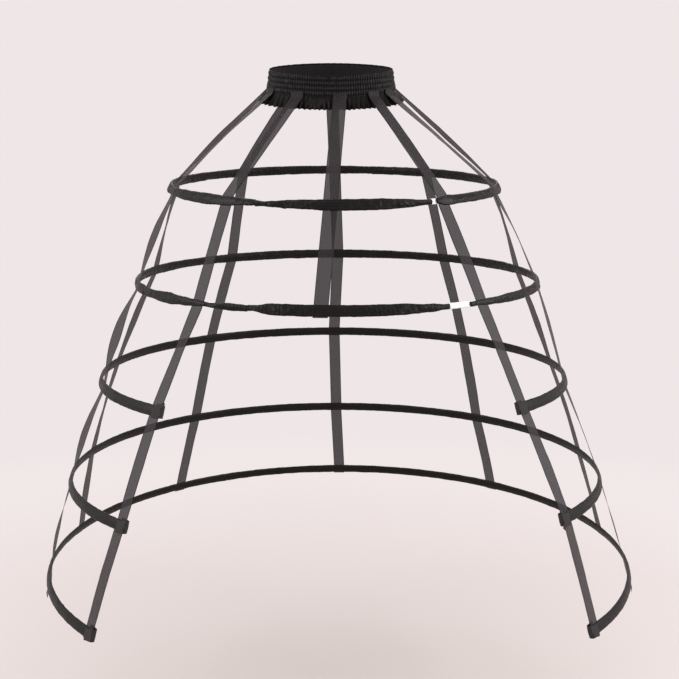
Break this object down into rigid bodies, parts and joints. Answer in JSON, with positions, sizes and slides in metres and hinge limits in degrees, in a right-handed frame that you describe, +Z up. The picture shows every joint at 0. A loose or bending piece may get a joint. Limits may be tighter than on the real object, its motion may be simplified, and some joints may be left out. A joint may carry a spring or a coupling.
{
  "type": "crinoline cage",
  "caption": "Black cage crinoline: sprung steel hoops in ribbon casings on vertical tapes, with a shirred elastic waistband and frill; lower hoops open at the front.",
  "frame": {"origin": "middle of the waist opening, at half the height of the waistband", "axes": "+Z up the wearer's body, -Y to the front, +X across the hoops"},
  "size_m": [1.1506, 0.9779, 0.9892],
  "materials": {
    "band_satin": "black satin, gathered in rows",
    "elastic": "black woven elastic",
    "casing_ribbon": "black satin ribbon, puckered",
    "tape_ribbon": "black satin ribbon",
    "hoop_steel": "white coated spring steel",
    "steel_tip": "pressed metal tip",
    "sleeve_plastic": "white plastic sleeve"
  },
  "bodies": {
    "root": {"waistband_satin": "band_satin", "waistband_frill": "band_satin", "waistband_elastic": "elastic", "hoop_1_steel": "hoop_steel", "hoop_1_casing_outer": "casing_ribbon", "hoop_1_casing_inner": "casing_ribbon", "hoop_1_sleeve": "sleeve_plastic", "hoop_2_steel": "hoop_steel", "hoop_2_casing_outer": "casing_ribbon", "hoop_2_casing_inner": "casing_ribbon", "hoop_2_sleeve": "sleeve_plastic", "hoop_3_steel": "hoop_steel", "hoop_3_casing_outer": "casing_ribbon", "hoop_3_casing_inner": "casing_ribbon", "hoop_3_tip_left": "steel_tip", "hoop_3_end_wrap_left": "casing_ribbon", "hoop_3_tip_right": "steel_tip", "hoop_3_end_wrap_right": "casing_ribbon", "hoop_4_steel": "hoop_steel", "hoop_4_casing_outer": "casing_ribbon", "hoop_4_casing_inner": "casing_ribbon", "hoop_4_tip_left": "steel_tip", "hoop_4_end_wrap_left": "casing_ribbon", "hoop_4_tip_right": "steel_tip", "hoop_4_end_wrap_right": "casing_ribbon", "hoop_5_steel": "hoop_steel", "hoop_5_casing_outer": "casing_ribbon", "hoop_5_casing_inner": "casing_ribbon", "hoop_5_tip_left": "steel_tip", "hoop_5_end_wrap_left": "casing_ribbon", "hoop_5_tip_right": "steel_tip", "hoop_5_end_wrap_right": "casing_ribbon", "tape_back_centre": "tape_ribbon", "tape_back_right": "tape_ribbon", "tape_side_back_right": "tape_ribbon", "tape_side_front_right": "tape_ribbon", "tape_front_right": "tape_ribbon", "tape_front_centre": "tape_ribbon", "tape_front_left": "tape_ribbon", "tape_side_front_left": "tape_ribbon", "tape_side_back_left": "tape_ribbon", "tape_back_left": "tape_ribbon"}
  },
  "joints": []
}
